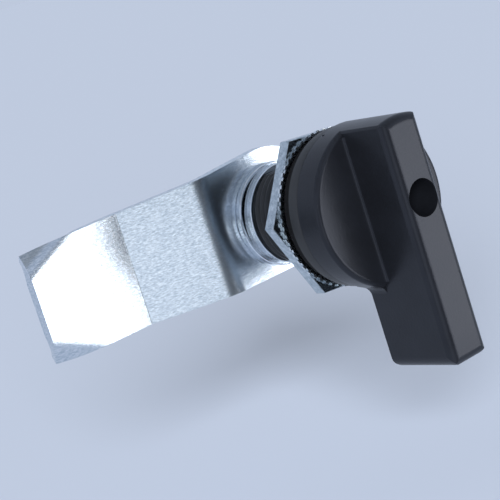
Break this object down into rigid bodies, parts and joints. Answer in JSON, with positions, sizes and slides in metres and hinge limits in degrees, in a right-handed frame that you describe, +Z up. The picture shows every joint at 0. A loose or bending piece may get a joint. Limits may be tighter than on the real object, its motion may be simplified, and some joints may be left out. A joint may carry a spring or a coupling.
{
  "type": "cabinet cylinder lock",
  "caption": "Quarter-turn cabinet lock: a black lever handle on a flanged round barrel turns a joggled steel cam behind the panel, held by a thin hexagon nut and a tooth washer.",
  "frame": {"origin": "on the lock axis, in the back face of the flange that seats on the panel", "axes": "+Y along the lock axis into the cabinet, +Z up with the lever hanging down, +X to the right seen from the user's side; the cam points to -X at rest"},
  "size_m": [0.0701, 0.0567, 0.048],
  "materials": {
    "black_plastic": "satin",
    "black_coated_alloy": "satin",
    "black_rubber": "matte",
    "zinc_plated_steel": "satin",
    "turned_steel": "satin",
    "spring_steel": "satin",
    "black_steel": "satin"
  },
  "bodies": {
    "lock_body": {"housing": "black_coated_alloy", "panel_gasket": "black_rubber"},
    "washer_ring": {"tooth_washer": "zinc_plated_steel"},
    "nut": {"mounting_nut": "zinc_plated_steel"},
    "rotor": {"handle": "black_plastic", "handle_screw": "black_steel", "handle_spring_washer": "zinc_plated_steel", "handle_seal_ring": "black_rubber", "spindle": "turned_steel", "spindle_seal_ring": "black_rubber", "stop_washer": "zinc_plated_steel", "wave_washer": "spring_steel", "spacer_washer": "zinc_plated_steel", "cam": "zinc_plated_steel", "cam_plain_washer": "zinc_plated_steel", "cam_spring_washer": "spring_steel", "cam_screw": "zinc_plated_steel"}
  },
  "joints": [
    {"name": "handle_turn", "type": "hinge", "parent": "lock_body", "child": "rotor", "pos_m": [0, 0, 0], "axis": [0, -1, 0], "range_deg": [0, 90]},
    {"name": "nut_travel", "type": "slide", "parent": "lock_body", "child": "washer_ring", "axis": [0, 1, 0], "range_m": [-0.0005, 0.0105]},
    {"name": "nut_spin", "type": "hinge", "parent": "washer_ring", "child": "nut", "pos_m": [0, 0, 0], "axis": [0, 1, 0], "range_deg": [-120, 2520]}
  ],
  "couplings": [
    {"joint": "nut_travel", "follows": "nut_spin", "m_per_rad": 0.00023873}
  ]
}
